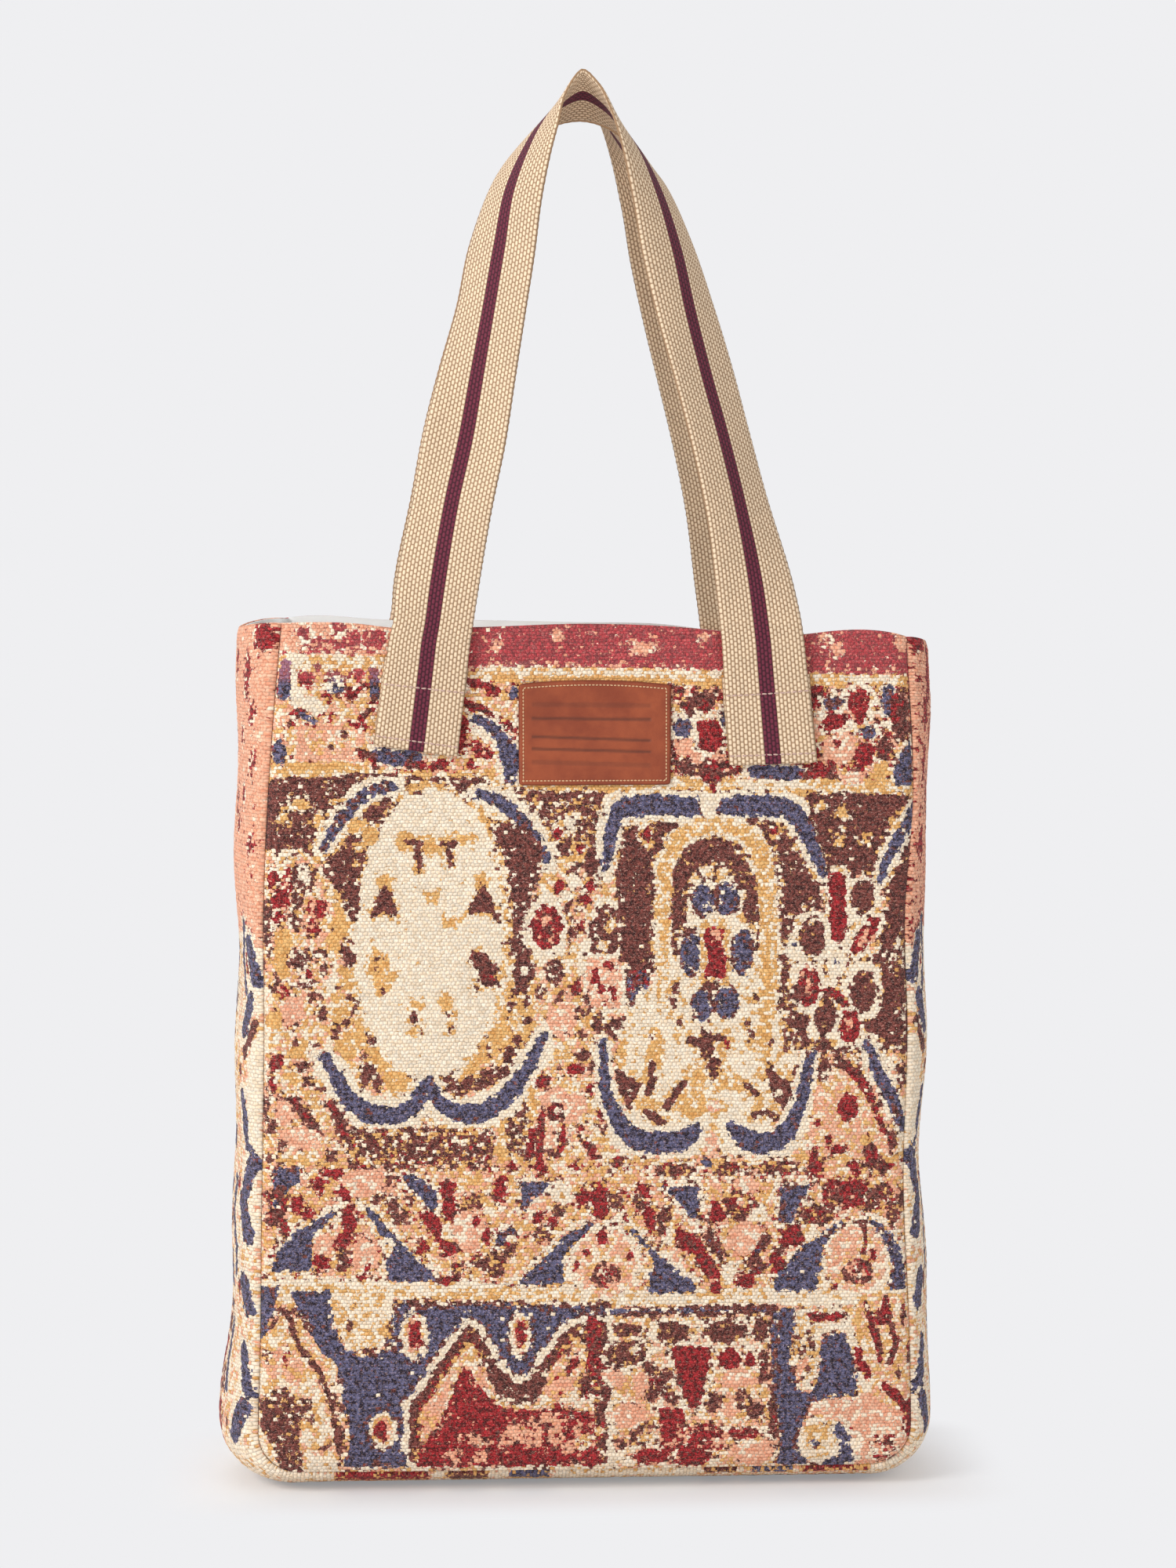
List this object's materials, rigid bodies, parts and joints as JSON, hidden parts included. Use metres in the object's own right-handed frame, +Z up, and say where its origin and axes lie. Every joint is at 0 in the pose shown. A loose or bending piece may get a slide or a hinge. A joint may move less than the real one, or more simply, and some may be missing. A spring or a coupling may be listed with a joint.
{
  "type": "tote bag",
  "caption": "Upright woven-cloth tote bag with a boxed side and base strip, two striped webbing handles, a cotton lining and a small leather patch.",
  "frame": {"origin": "on the floor under the middle of the bag", "axes": "+Z up along the handles, the front faces -Y, +X to the right as seen from the front"},
  "size_m": [0.324, 0.1116, 0.6346],
  "materials": {
    "printed_cloth": "coarse plain weave, printed in six colours",
    "cotton_lining": "fine plain weave, white",
    "striped_webbing": "heavy ribbed webbing with a dark red centre stripe",
    "tan_leather": "smooth tan leather, fine grain",
    "pale_thread": "twisted thread"
  },
  "bodies": {
    "root": {"front_panel": "printed_cloth", "back_panel": "printed_cloth", "gusset": "printed_cloth", "lining_front": "cotton_lining", "lining_back": "cotton_lining", "lining_gusset": "cotton_lining", "front_handle": "striped_webbing", "back_handle": "striped_webbing", "leather_label": "tan_leather", "label_stitching": "pale_thread", "front_left_handle_stitching": "pale_thread", "front_right_handle_stitching": "pale_thread", "back_left_handle_stitching": "pale_thread", "back_right_handle_stitching": "pale_thread"}
  },
  "joints": []
}
